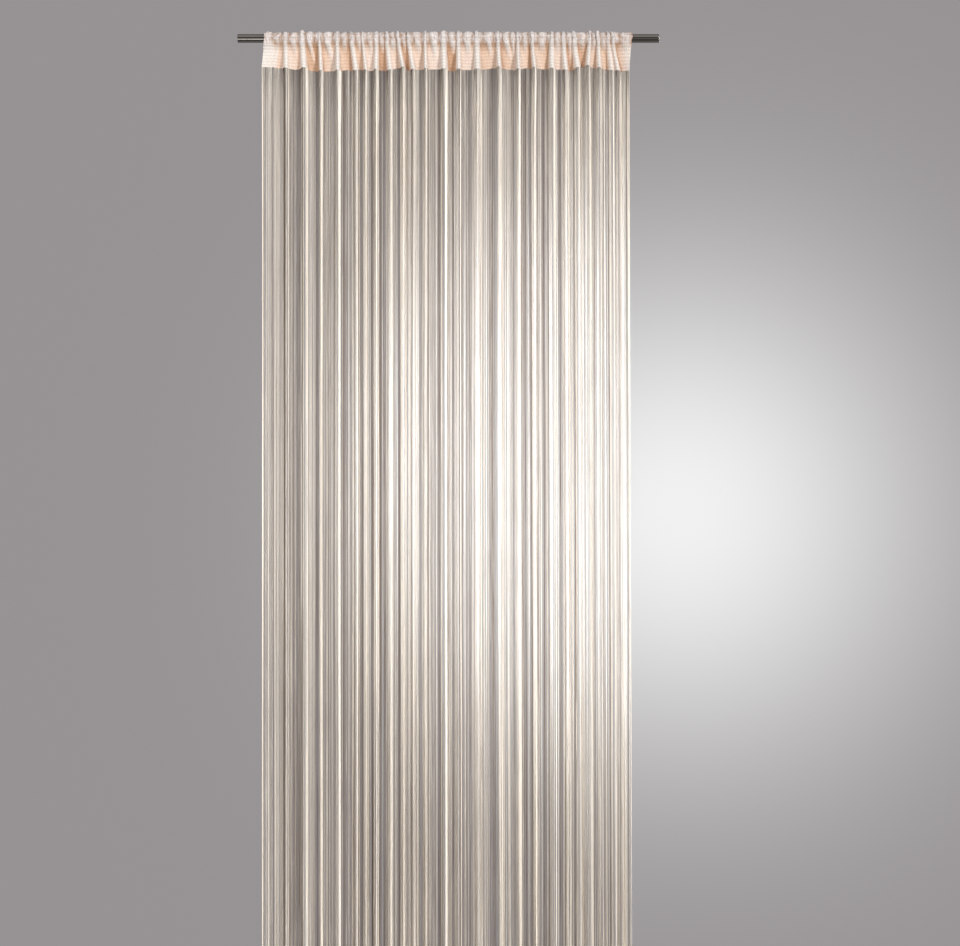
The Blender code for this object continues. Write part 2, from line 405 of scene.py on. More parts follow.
# ---- Finishes ----


@dataclass(frozen=True)
class PolishedSteel:
    """Stainless steel tube, ground and polished lengthwise.

    The polish is nearly a mirror along the tube, and its fine lengthwise grinding marks spread
    reflections round it, so the eye sees long dark and light stripes.
    """

    colour: str = "#A8A19A"
    dark_colour: str = "#8C857E"
    roughness_range: Pair = (0.063, 0.126)
    mark_mm: float = 0.35  # spacing of the grinding marks, drawn coarser than the real 0.05 mm
    mark_length: float = 250.0  # how many times as long as wide a mark is
    clouds: float = 14.0  # cloudy patches in each metre

    def material(self) -> Material:
        """Builds the material.

        Returns:
            The material.
        """
        mat, add, shader = new_material("polished stainless steel")
        here = add("TexCoord").outputs["Object"]
        per_mark = 1.0 / (self.mark_mm * MM)
        stretched = add("Mapping", Vector=here, Scale=(per_mark / self.mark_length, per_mark, per_mark))
        marks = add("TexNoise", Vector=stretched, Scale=1.0, Detail=3.0)
        cloudy = add("TexNoise", Vector=here, Scale=self.clouds, Detail=2.0)
        colour = add("Mix", Factor=cloudy, A=srgb(self.dark_colour), B=srgb(self.colour), data_type="RGBA")
        low, high = self.roughness_range
        rough = add("MapRange", Value=marks, To_Min=low, To_Max=high)
        bump = add("Bump", Height=marks, Strength=0.06, Distance=0.02 * MM)
        feed(shader, Base_Color=colour, Roughness=rough, Normal=bump, Metallic=1.0)
        return mat


@dataclass(frozen=True)
class KnittedBand:
    """Ivory polyester band, warp knitted, with a raised row of stitches every few millimetres.

    The cloth is thin and warm in colour. Its light and shade are painted by depth: a painted
    highlight shows a crest cream, nearly white, and painted shade turns the hollows peach, where
    cloth lies behind cloth and light has come through it.
    """

    # Painted highlight and painted shade, by how deep the cloth lies in its folds: crest, flat, hollow,
    # deep
    crest: str = "#FCF3EA"
    flat: str = "#F4DECF"
    hollow: str = "#ECCBB2"
    deep: str = "#CFA483"
    pocket: str = "#FBF0EB"  # painted light: over the rod no light comes through from behind, so it is painted cooler than the skirt
    # painted shade in the pocket's creases
    crease: str = "#9C806D"
    row_mm: float = 7.8  # from one raised stitch row to the next
    stitch_mm: float = 3.2  # length of a stitch along its row
    pucker_mm: Triple = (3.5, 7.0, 1000.0)  # the pocket's small puckers
    pucker_height: float = 15.0  # next to a stitch row's 1
    pucker_below: float = 0.25  # how much of them goes on below the pocket
    yarn_mm: float = 1.6  # the upright yarns, drawn coarser than the real 0.5 mm
    fuzz_mm: float = 2.2  # the uneven stitches

    def material(self) -> Material:
        """Builds the material.

        Returns:
            The material.
        """
        mat, add, shader = new_material("warp knitted polyester band")
        cloth = add("UVMap", uv_map=CLOTH_MAP)
        parts = add("SeparateXYZ", Vector=cloth)
        waves = []
        for axis, mm in (("Y", self.row_mm), ("X", self.stitch_mm), ("X", self.yarn_mm)):
            turns = add("Math", parts.outputs[axis], 2.0 * math.pi / (mm * MM), operation="MULTIPLY")
            wave = add("Math", turns, operation="SINE")
            waves.append(add("Math", wave, 0.5, 0.5, operation="MULTIPLY_ADD"))
        rows, stitches, yarns = waves
        knots = add("Math", rows, stitches, operation="MULTIPLY")
        noises = []
        for grain_mm, detail, roughness in (((self.fuzz_mm,) * 3, 4.0, 0.7), (self.pucker_mm, 1.0, 0.5)):
            place = add("Mapping", Vector=cloth, Scale=[1.0 / (mm * MM) for mm in grain_mm])
            noises.append(add("TexNoise", Vector=place, Scale=1.0, Detail=detail, Roughness=roughness))
        fuzz, puckers = noises
        over_rod = add("Attribute", attribute_name="over_rod").outputs["Fac"]
        looseness = add("MapRange", Value=over_rod, To_Min=self.pucker_below)
        puckers = add("Math", puckers, looseness, operation="MULTIPLY")
        height = add("Math", rows, knots, operation="ADD")
        for relief, amount in ((yarns, 0.5), (fuzz, 0.6), (puckers, self.pucker_height)):
            height = add("Math", relief, amount, height, operation="MULTIPLY_ADD")
        bump = add("Bump", Height=height, Strength=0.7, Distance=0.35 * MM)
        # Painted highlight on the crests and painted shade in the hollows, by depth
        depth = add("Attribute", attribute_name="hollow").outputs["Fac"]
        ramp = add("ValToRGB", Fac=depth)
        stops = ramp.color_ramp.elements
        stops[0].color, stops[1].color = srgb(self.crest), srgb(self.deep)
        stops.new(0.42).color = srgb(self.flat)
        stops.new(0.8).color = srgb(self.hollow)
        # Painted shade in the pocket's creases, over the pocket's own cooler painted colour
        gathered = add("Mix", Factor=depth, A=srgb(self.pocket), B=srgb(self.crease), data_type="RGBA")
        tint = add("Mix", Factor=over_rod, A=ramp, B=gathered, data_type="RGBA")
        shade = add("MapRange", Value=knots, To_Min=0.8, To_Max=1.07)
        grain = add("MapRange", Value=fuzz, From_Min=0.32, From_Max=0.68, To_Min=0.8, To_Max=1.24)
        both = add("Math", shade, grain, operation="MULTIPLY")
        colour = add("Mix", Factor=1.0, A=tint, B=both, data_type="RGBA", blend_type="MULTIPLY")
        feed(shader, Base_Color=colour, Normal=bump, Roughness=0.72, Sheen_Weight=0.25, Sheen_Roughness=0.4)
        return mat


@dataclass(frozen=True)
class SpunYarn:
    """Ivory polyester yarn, softly twisted, with the dull satin sheen of spun filament.

    Each string is lit along one side only. Shade is painted into the yarn as well: its dark colour
    is painted shade, which each string takes by its tone, so no two have quite the same tone.
    """

    light: str = "#FFF7EB"
    # painted shade: the shaded side of the yarn, taken in by each string's tone
    dark: str = "#776250"
    twist_mm: float = 5.0  # one turn of the twist, drawn coarser than the real 2 mm
    twist_amount: float = 0.06  # how much it changes the tone
    ply_mm: float = 0.25  # how far along X the twist's slant carries it
    streak_mm: Triple = (2.0, 2.0, 110.0)  # streaks of lighter and darker yarn
    streak_amount: float = 1.1
    streak_middle: float = 0.4  # taken off, so that streaks go both ways

    def material(self) -> Material:
        """Builds the material.

        Returns:
            The material.
        """
        mat, add, shader = new_material("twisted polyester yarn")
        # each string's tone brings its painted light and shade
        tone = add("Attribute", attribute_name="tone").outputs["Fac"]
        here = add("TexCoord").outputs["Object"]
        parts = add("SeparateXYZ", Vector=here)
        turns = add("Math", parts.outputs["Z"], 2.0 * math.pi / (self.twist_mm * MM), operation="MULTIPLY")
        across = add("Math", parts.outputs["X"], 1.0 / (self.ply_mm * MM), turns, operation="MULTIPLY_ADD")
        twist = add("Math", across, operation="SINE")
        place = add("Mapping", Vector=here, Scale=[1.0 / (mm * MM) for mm in self.streak_mm])
        streaks = add("TexNoise", Vector=place, Scale=1.0, Detail=3.0)
        mix = add("Math", streaks, self.streak_amount, tone, operation="MULTIPLY_ADD")
        mix = add("Math", mix, self.streak_middle, operation="SUBTRACT")
        shade = add("Math", twist, self.twist_amount, mix, operation="MULTIPLY_ADD")
        colour = add("Mix", Factor=shade, A=srgb(self.dark), B=srgb(self.light), data_type="RGBA")
        bump = add("Bump", Height=twist, Strength=0.3, Distance=0.1 * MM)
        feed(shader, Base_Color=colour, Normal=bump, Roughness=0.6, Sheen_Weight=0.2, Sheen_Roughness=0.5)
        return mat


# ---- The rod ----


@dataclass
class Rod:
    """The round rod, cut square at both ends."""

    low: Vector = field(default_factory=lambda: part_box("rod")[0])
    high: Vector = field(default_factory=lambda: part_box("rod")[1])
    sides: int = 128
    broken_edge: float = 0.6 * MM
    edge_segments: int = 4
    finish: PolishedSteel = PolishedSteel()

    @property
    def radius(self) -> float:
        """The rod's radius, from the frame."""
        return (self.high.z - self.low.z) / 2.0

    def build(self) -> Object:
        """Turns the rod and breaks its edges.

        Returns:
            The rod.
        """
        bm = bmesh.new()
        length = self.high.x - self.low.x
        bmesh.ops.create_cone(bm, cap_ends=True, segments=self.sides, radius1=self.radius,
                              radius2=self.radius, depth=length)
        rims = [e for e in bm.edges if abs(e.verts[0].co.z - e.verts[1].co.z) < self.radius]
        bmesh.ops.bevel(bm, geom=rims, offset=self.broken_edge, segments=self.edge_segments,
                        profile=0.5, affect="EDGES", material=-1)
        turn = Vector((0.0, 0.0, 1.0)).rotation_difference(Vector((1.0, 0.0, 0.0)))
        bmesh.ops.rotate(bm, cent=(0.0, 0.0, 0.0), matrix=turn.to_matrix(), verts=bm.verts)
        bmesh.ops.translate(bm, vec=(self.low + self.high) / 2.0, verts=bm.verts)
        bmesh.ops.recalc_face_normals(bm, faces=bm.faces)
        mesh = as_mesh(bm, "rod")
        mesh.shade_smooth()
        mesh.set_sharp_from_angle(angle=math.radians(30.0))
        return add_piece("steel_rod", mesh, self.finish.material(), "rod")


# ---- The fall of the cloth ----


@dataclass
class Gathers:
    """How the band falls: where each line down the cloth runs, from the neck to the lower edge."""

    left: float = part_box("heading_band")[0].x
    right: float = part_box("heading_band")[1].x
    lower_z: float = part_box("heading_band")[0].z
    neck_z: float = -15.0 * MM
    left_in: float = 5.0 * MM  # how far the left edge comes in at the neck
    right_in: float = 5.0 * MM  # and the right edge at the bottom
    left_end_y: float = -8.0 * MM
    right_end_y: float = -6.5 * MM
    neck_depth_share: float = 0.28
    neck_width_share: float = 0.75
    pocket_front: float = 10.0 * MM  # how far the front layer still stands forward at the neck
    pocket_share: float = 0.36  # the share of the skirt over which it falls back to the seam
    fold_puff: Pair = (0.8, 0.45)  # a puff's height: always, and for each 1 of `puff`
    tuck_puff: Pair = (1.0, 0.6)  # and over a tuck, for each 1 of its depth
    crest_puff: float = 0.6  # what stands over a fold's own crest at the least
    full_puff: float = 13.0  # a puff narrower than this, in millimetres, stands lower
    puff_power: float = 0.6  # below 1 a puff is full and its creases sharp
    back_power: float = 0.7  # below 1 the cloth falls back early on its way down
    step: float = 0.1 * MM  # how finely the path is measured

    def __post_init__(self) -> None:
        """Measures the lower edge's path."""
        self.low_right = self.right - self.right_in
        self.path_x = np.arange(self.left, self.low_right + self.step / 2.0, self.step)
        path_y = self.edge_y(self.path_x)
        steps = np.hypot(np.diff(self.path_x), np.diff(path_y))
        self.path_length = np.concatenate(([0.0], np.cumsum(steps)))

    @property
    def flat_width(self) -> float:
        """The band's width when it is laid flat."""
        return float(self.path_length[-1])

    def edge_x(self, along: Array) -> Array:
        """Where along X a place on the lower edge is, from its distance along the cloth."""
        return np.interp(along, self.path_length, self.path_x)

    def run(self, edge_x: Array, knots: list[Pair], left: float, right: float) -> Array:
        """A measure that runs straight from knot to knot along the lower edge.

        Args:
            edge_x: Places on the lower edge, along X.
            knots: A place and the measure there, in millimetres, from left to right.
            left: The measure at the left edge, in metres.
            right: The measure at the right edge, in metres.

        Returns:
            The measure at each place, in metres.
        """
        places, values = np.array(knots).T * MM
        return np.interp(edge_x, [self.left, *places, self.low_right], [left, *values, right])

    def neck_x(self, edge_x: Array) -> Array:
        """Follows each line down the cloth back up to the neck.

        Args:
            edge_x: Where each line reaches the lower edge.

        Returns:
            Where it leaves the neck, along X.
        """
        knots = []
        for fold in FOLDS:
            for half in (-fold.half, 0.0, fold.half):
                knots.append((fold.crest + half, fold.crest - fold.lean + half * self.neck_width_share))
        return self.run(edge_x, knots, self.left + self.left_in, self.right)

    def back(self, edge_x: Array) -> Array:
        """How far behind the rod's axis the cloth between the folds hangs, at the lower edge.

        Args:
            edge_x: Where each line reaches the lower edge.

        Returns:
            A distance for each line.
        """
        knots = []
        for fold in FOLDS:
            knots += [(fold.crest - fold.half, fold.back), (fold.crest + fold.half, fold.next_back)]
        return self.run(edge_x, knots, self.left_end_y, self.right_end_y)

    @staticmethod
    def bump(offset: Array) -> Array:
        """A fold's outline: 1 on its crest, 0 from its feet outwards, which are at -1 and 1."""
        return held(1.0 - np.abs(offset) ** 3.0) ** 1.4

    def forward(self, edge_x: Array) -> Array:
        """How far the folds bring the cloth forward at the lower edge.

        Args:
            edge_x: Where each line reaches the lower edge.

        Returns:
            A distance for each line.
        """
        total = np.zeros_like(edge_x)
        for fold in FOLDS:
            total += fold.depth * MM * self.bump((edge_x / MM - fold.crest) / fold.half)
        return total

    def puffs(self, edge_x: Array) -> Array:
        """How far the pocket stands off the rod above each line.

        The gathered pocket is a row of small round puffs with a sharp crease between each two. A
        puff stands above each fold and each tuck.

        Args:
            edge_x: Where each line reaches the lower edge.

        Returns:
            A height for each line.
        """
        neck = self.neck_x(edge_x) / MM
        low, grown = self.fold_puff
        marks = [(fold.crest - fold.lean, low + grown * fold.puff) for fold in FOLDS]
        low, grown = self.tuck_puff
        marks += [(tuck.top, low + grown * tuck.depth) for tuck in TUCKS]
        centres, heights = np.array(sorted(marks)).T
        creases = np.concatenate(([self.left / MM], (centres[1:] + centres[:-1]) / 2.0, [self.right / MM]))
        which = np.clip(np.searchsorted(creases, neck, side="right") - 1, 0, len(marks) - 1)
        widths = np.diff(creases)
        inside = held((neck - creases[which]) / widths[which])
        height = heights * np.minimum(1.0, widths / self.full_puff)
        puffs = height[which] * np.sin(math.pi * inside) ** self.puff_power
        for fold in FOLDS:
            own = (neck - fold.crest + fold.lean) / (fold.half * self.neck_width_share)
            puffs = np.maximum(puffs, (self.crest_puff + fold.puff) * self.bump(own))
        return puffs * MM

    def edge_y(self, edge_x: Array) -> Array:
        """The lower edge's place along Y."""
        return self.back(edge_x) - self.forward(edge_x)

    def edge_z(self, edge_x: Array) -> Array:
        """The lower edge's height, drawn up a little by the folds.

        Args:
            edge_x: Where each line reaches the lower edge.

        Returns:
            A height for each line.
        """
        knots = [(FOLDS[0].crest, FOLDS[0].lift)]
        for fold, following in zip(FOLDS, FOLDS[1:]):
            knots += [((fold.crest + following.crest) / 2.0, fold.next_lift),
                      (following.crest, following.lift)]
        return self.lower_z + self.run(edge_x, knots, FOLDS[0].lift * MM, 0.0)

    def skirt(self, edge_x: Array, down: float) -> Array:
        """The cloth at one share of the way down from the neck.

        Args:
            edge_x: Where each line reaches the lower edge.
            down: 0 at the neck, 1 at the lower edge.

        Returns:
            A place for each line.
        """
        neck_x = self.neck_x(edge_x)
        x = neck_x + (edge_x - neck_x) * down
        grown = self.neck_depth_share + (1.0 - self.neck_depth_share) * down
        y = self.back(edge_x) * down**self.back_power - self.forward(edge_x) * grown
        y = y - self.pocket_front * max(0.0, 1.0 - down / self.pocket_share) ** 2
        for tuck in TUCKS:
            fade = 1.0 - smooth(np.array(down / tuck.reach))
            centre = tuck.top + tuck.lean * down
            half = tuck.half * (1.0 - 0.5 * down)
            y = y - tuck.depth * MM * fade * self.bump((x / MM - centre) / half)
        z = self.neck_z + (self.edge_z(edge_x) - self.neck_z) * down
        return np.stack([x, y, z], axis=1)


# ---- The heading band ----


@dataclass
class HeadingBand:
    """The band: a flap sewn down behind, the pocket round the rod, the neck and the skirt."""

    gathers: Gathers
    rod_radius: float
    thickness: float = 0.7 * MM
    slack: float = 0.6 * MM  # from the rod to the cloth's inner face
    columns: int = 920
    rows: int = 50
    back_angle: float = 40.0  # where the cloth leaves the rod behind, from straight down, degrees
    front_angle: float = 62.0  # and in front
    flap: tuple[Pair, ...] = ((0.42, 0.9), (0.34, 0.9), (0.216, 2.5))  # down the skirt, layers behind it
    flap_layer: float = 0.595 * MM  # a layer where the two are sewn together
    crumple: float = 2.0 * MM
    crumple_grain: float = 4.5 * MM
    crumple_turns: float = 2.2  # in each radian round the rod
    fine_crumple: Pair = (2.3, 0.4)  # how much finer, and how strong
    side_crumple: float = 0.6  # how much coarser the crumples along the rod are
    lean_on: float = 0.35  # how much of the folds' lean goes on over the rod
    pocket_knots: int = 14
    skirt_knots: int = 10
    hollow_range: Pair = (2.0, 93.0)  # what counts as hollow and as crest for the painted shade, percent
    hollow_power: float = 1.9
    neck_fade: float = 8.0 * MM  # over which the pocket's colour turns to the skirt's
    hollow_painted_shade: float = 0.4  # how much of the skirt's painted shade the pocket's hollows keep
    finish: KnittedBand = KnittedBand()

    def knots(self, edge_x: Array) -> Array:
        """The band's section on each line, as a few knots for a smooth curve.

        Args:
            edge_x: Where each line reaches the lower edge.

        Returns:
            Knots by line, from the flap's edge over the rod to the lower edge.
        """
        gathers = self.gathers
        rows = [gathers.skirt(edge_x, down) + np.array([0.0, self.flap_layer, 0.0]) * layers
                for down, layers in self.flap]
        neck_x = gathers.neck_x(edge_x)
        radius = self.rod_radius + self.slack + self.thickness / 2.0
        puffs = gathers.puffs(edge_x)
        angles = np.radians(np.linspace(360.0 - self.back_angle, self.front_angle, self.pocket_knots))
        for angle in angles:
            share = math.sin(angle / 2.0) ** 0.6
            places = np.stack([neck_x / self.crumple_grain,
                               np.full(len(neck_x), angle * self.crumple_turns)], axis=1)
            finer, fine_share = self.fine_crumple
            crumple = self.crumple * (0.5 + 0.5 * soft_noise(places, 11)
                                      + fine_share * soft_noise(places * finer, 13))
            reach = radius + (puffs + crumple) * share
            sideways = self.crumple * soft_noise(places * self.side_crumple + 40.0, 12)
            sideways -= self.lean_on * (edge_x - neck_x) * min(1.0, (angle - angles[-1])
                                                               / (math.pi - angles[-1]))
            rows.append(np.stack([neck_x + sideways, -reach * math.sin(angle), -reach * math.cos(angle)],
                                 axis=1))
        for down in np.linspace(0.0, 1.0, self.skirt_knots + 1):
            rows.append(gathers.skirt(edge_x, float(down)))
        return np.stack(rows, axis=1)

    def curve_weights(self, knots: int) -> Array:
        """What each row of the sheet takes from each knot, on a smooth curve through the knots.

        Args:
            knots: How many knots there are.

        Returns:
            A share for each row and knot.
        """
        weights = np.zeros((self.rows + 1, knots))
        for row, at in enumerate(np.linspace(0.0, knots - 1.0, self.rows + 1)):
            start = min(int(at), knots - 2)
            part = at - start
            blend = CURVE @ [1.0, part, part**2, part**3]
            for knot, share in zip(range(start - 1, start + 3), blend):
                weights[row, min(max(knot, 0), knots - 1)] += share
        return weights

    def build(self) -> Object:
        """Lays out the sheet, folds it over the rod and gives it its thickness.

        Returns:
            The band.
        """
        along = np.linspace(0.0, self.gathers.flat_width, self.columns + 1)
        edge_x = self.gathers.edge_x(along)
        knots = self.knots(edge_x)
        folded = np.einsum("rk,ckd->crd", self.curve_weights(knots.shape[1]), knots)
        down = np.linalg.norm(np.diff(folded, axis=1), axis=2).mean(axis=0)
        down = np.concatenate(([0.0], np.cumsum(down)))
        self.section_length = float(down[-1])
        bm = bmesh.new()
        bmesh.ops.create_grid(bm, x_segments=self.columns, y_segments=self.rows, size=0.5)
        mesh = as_mesh(bm, "band")
        flat = get_places(mesh)
        column, row = np.rint((flat[:, :2] + 0.5) * (self.columns, self.rows)).astype(int).T
        set_places(mesh, folded[column, row])
        set_map(mesh, CLOTH_MAP, np.stack([along[column], down[row]], axis=1))
        hollow = self.hollow(folded)
        # the mask of the painted highlight on the crests and the painted shade in the hollows
        set_values(mesh, "hollow", hollow[column, row])
        # the pocket's cooler painted colour, and the painted shade that its hollows take from the skirt
        over_rod = smooth((folded[:, :, 2] - self.gathers.neck_z) / self.neck_fade + 0.5)
        over_rod *= 1.0 - self.hollow_painted_shade * hollow
        set_values(mesh, "over_rod", over_rod[column, row])
        solid = modified(mesh, "SOLIDIFY", thickness=self.thickness, offset=0.0, use_even_offset=False)
        solid.shade_smooth()
        solid.set_sharp_from_angle(angle=math.radians(60.0))
        return add_piece("band_cloth", solid, self.finish.material(), "heading_band")

    def hollow(self, folded: Array) -> Array:
        """How deep each place lies in a hollow, which sets the painted highlight and shade: 0 on a crest, 1
        in the deepest fold.

        Args:
            folded: The sheet's places, by line and row.

        Returns:
            A number for each place.
        """
        y, z = folded[:, :, 1], folded[:, :, 2]
        stands = np.where(z > self.gathers.neck_z, np.hypot(y, z), -y)
        back, front = np.percentile(stands, self.hollow_range, axis=0)
        share = held((front - stands) / np.maximum(front - back, MM))
        return share**self.hollow_power


# ---- The strings ----


@dataclass
class Strings:
    """Every string of the curtain, in two layers: one in bunches and an even one behind it."""

    gathers: Gathers
    low_z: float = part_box("string_comb")[0].z
    count: int = 1500  # between the two edges
    edge_count: int = 14  # drawn together along each edge
    edge_width: float = 7.0 * MM
    jitter: float = 0.4  # how far a string may be from its even place, in spaces between strings
    radius: float = 0.46 * MM
    sizes: Pair = (0.8, 1.2)  # the thinnest and the thickest string, next to that radius
    sides: int = 3
    lengths: int = 18
    end_spread: float = 9.0 * MM  # how far the right edge swings out at the string ends
    bunch_widths: Pair = (3.0 * MM, 9.5 * MM)  # of flat cloth
    bunch_gaps: Pair = (2.2 * MM, 6.5 * MM)  # that open between them on the way down
    bunch_close: float = 0.65  # the power of the way down with which they open
    most_pull: float = 0.9  # how near to its middle a bunch may be drawn
    bunch_depths: Pair = (0.0 * MM, 5.0 * MM)
    back_depth: float = 5.0 * MM  # how far the layer behind hangs back
    line_depth: float = 3.0 * MM  # how far a bright line stands forward
    line_hold: float = 0.6  # how much a line keeps its strings from wandering
    back_hold: float = 0.6  # and the back layer
    settle: Pair = (12.0, 0.6)  # how soon, and by what power, strings wander below the band
    deep_pull: float = 0.8  # how much of a bunch's pull there is in depth
    wide: Wander = Wander(70.0, 2.0, 1.0 * MM, 1)
    bunched: Wander = Wander(4.0, 2.5, 0.7 * MM, 2)
    fine: Wander = Wander(3.1, 4.0, 0.5 * MM, 3)
    own: Wander = Wander(0.8, 12.0, 1.6 * MM, 6)
    least_stray: float = 0.15  # how much of its own wandering every string does
    more_stray: Wander = Wander(0.7, 0.0, 1.0, 21)
    wide_deep: Wander = Wander(55.0, 2.0, 1.0 * MM, 4)
    fine_deep: Wander = Wander(1.2, 4.0, 0.8 * MM, 8)
    # painted shade and painted light of the strings, through their tone
    own_painted_shades: Pair = (0.25, 1.05)
    painted_bunch_step: float = 0.4  # from one bunch's painted light to its neighbour's painted shade
    bunch_chance: Wander = Wander(1.7, 0.0, 0.75, 22)
    # painted shade on the layer behind
    back_painted_shade: float = 0.8
    # painted light on the bright lines
    line_painted_light: float = 0.2
    left_painted_light: float = 0.5  # painted light on the left edge, where the strings hang doubled
    uneven_end: float = 2.0 * MM
    seed: int = 7
    finish: SpunYarn = SpunYarn()

    def one_string(self) -> BMesh:
        """Makes one straight string of unit height and radius, hanging down from the origin.

        Returns:
            The string.
        """
        bm = bmesh.new()
        rim = bmesh.ops.create_circle(bm, cap_ends=True, segments=self.sides, radius=1.0)["verts"]
        region = [rim[0].link_faces[0]]
        for _ in range(self.lengths):
            edges = {e for f in region for e in f.edges}
            grown = bmesh.ops.extrude_face_region(bm, geom=[*region, *edges])["geom"]
            moved = [g for g in grown if isinstance(g, bmesh.types.BMVert)]
            region = [g for g in grown if isinstance(g, bmesh.types.BMFace)]
            bmesh.ops.translate(bm, vec=(0.0, 0.0, -1.0 / self.lengths), verts=moved)
        bmesh.ops.recalc_face_normals(bm, faces=bm.faces)
        return bm

    def numbers(self) -> Array:
        """Spaces the strings, a little unevenly.

        Returns:
            Where each is sewn on, as a distance along the flat cloth.
        """
        width = self.gathers.flat_width
        edge = np.linspace(0.5 * MM, self.edge_width, self.edge_count)
        pitch = (width - 2.0 * self.edge_width) / self.count
        jitter = np.random.default_rng(self.seed).uniform(-self.jitter, self.jitter, self.count)
        middle = self.edge_width + (np.arange(self.count) + 0.5 + jitter) * pitch
        return np.concatenate((edge, middle, width - edge[::-1]))

    def bunches(self, number: Array) -> tuple[Array, Array, Array]:
        """Which neighbours each string hangs together with.

        Args:
            number: Where each string is sewn on.

        Returns:
            The middle of its bunch along the flat cloth, how strongly it is drawn there, and how
            far the bunch stands forward or back.
        """
        rng = np.random.default_rng(self.seed + 2)
        width = self.gathers.flat_width
        marks = np.cumsum(rng.uniform(*self.bunch_widths, 400))
        marks = np.concatenate(([0.0], marks[marks < width - self.bunch_widths[0]], [width]))
        which = np.clip(np.searchsorted(marks, number, side="right") - 1, 0, len(marks) - 2)
        middles = (marks[1:] + marks[:-1]) / 2.0
        pulls = np.minimum(rng.uniform(*self.bunch_gaps, len(middles)) / np.diff(marks), self.most_pull)
        stands = -rng.uniform(*self.bunch_depths, len(middles))
        behind = self.behind(number)
        return (middles[which], np.where(behind, 0.0, pulls[which]),
                np.where(behind, self.back_depth, stands[which]))

    def behind(self, number: Array) -> Array:
        """Which strings hang in the layer behind: every second one, but none along the edges.

        Args:
            number: Where each string is sewn on.

        Returns:
            Whether each one does.
        """
        every = self.numbers()
        picked = np.arange(len(every)) % 2 == 1
        picked[:self.edge_count] = picked[-self.edge_count:] = False
        return picked[np.searchsorted(every, number)]

    def stray(self, number: Array) -> Array:
        """How freely each string wanders: most hardly do, and a few cross their neighbours."""
        return self.least_stray + held(self.more_stray.at(number)) ** 2

    def painted_bunch_light(self, number: Array) -> Array:
        """How much painted light or painted shade each string's bunch gets: every second one is lighter.

        Args:
            number: Where each string is sewn on.

        Returns:
            What its bunch adds to its tone.
        """
        middle = self.bunches(number)[0]
        order = np.unique(middle, return_inverse=True)[1]
        return self.painted_bunch_step * (order % 2 - 0.5) + self.bunch_chance.at(middle)

    def gathered(self, start_x: Array) -> tuple[Array, Array]:
        """How the bright lines draw the strings beside them.

        Args:
            start_x: Where each string leaves the band, along X.

        Returns:
            How far each string is drawn along X, and how much it belongs to a line, 0 to 1.
        """
        drawn, inside = np.zeros_like(start_x), np.zeros_like(start_x)
        for line in LINES:
            share = self.gathers.bump((start_x / MM - line.place) / line.half)
            drawn += (line.place * MM - start_x) * line.pull * share
            inside = np.maximum(inside, share)
        return drawn, inside

    def drift(self, start_x: Array, number: Array, down: Array) -> Array:
        """How far each string has wandered at each share of the way down.

        Args:
            start_x: Where each string leaves the band, along X.
            number: Where each string is sewn on.
            down: 0 at the band, 1 at the string's end.

        Returns:
            Offsets along X and Y, one row for each place.
        """
        share = (start_x - self.gathers.left) / (self.gathers.right - self.gathers.left)
        settled = held(down * self.settle[0]) ** self.settle[1]
        middle, pull, stand = self.bunches(number)
        to_line, inside = self.gathered(start_x)
        drawn = pull * held(down) ** self.bunch_close * (1.0 - inside)
        loose = (1.0 - self.line_hold * inside) * (1.0 - self.back_hold * self.behind(number))
        single = self.fine.at(number, down) + self.own.at(number, down) * self.stray(number)
        across = self.wide.at(start_x, down) + self.bunched.at(middle, down) + single * loose
        middle_x = self.gathers.edge_x(middle)
        across = (self.end_spread * share**2 * down + across * settled
                  + (middle_x - start_x) * drawn + to_line * settled)
        deep = self.wide_deep.at(start_x, down) + self.fine_deep.at(number, down) * loose
        deep += stand * (1.0 - inside) - self.line_depth * inside
        start_y, middle_y = self.gathers.edge_y(start_x), self.gathers.edge_y(middle_x)
        return np.stack([across, deep * settled + (middle_y - start_y) * drawn * self.deep_pull], axis=1)

    def tones(self, number: Array, own: Array) -> Array:
        """How light each string is painted: painted shade behind and at random, painted light on the lines
        and edges.

        Args:
            number: Where each string is sewn on.
            own: Its own tone.

        Returns:
            From 0, dark, to 1, light, or beyond.
        """
        left_edge = number < self.edge_width
        right_edge = number > self.gathers.flat_width - self.edge_width
        inside = np.maximum(self.gathered(self.gathers.edge_x(number))[1], 1.0 * (left_edge | right_edge))
        # painted shade behind and on every second bunch, painted light on the lines and edges
        bunched = self.painted_bunch_light(number) - self.back_painted_shade * self.behind(number)
        lighter = self.line_painted_light * inside + self.left_painted_light * left_edge
        return own + bunched * (1.0 - inside) + lighter

    def build(self) -> list[Object]:
        """Hangs every string, the front layer first.

        Returns:
            The front layer and the one behind it.
        """
        mat = self.finish.material()
        behind = self.behind(self.numbers())
        return [self.hang("strings_front", ~behind, mat), self.hang("strings_back", behind, mat)]

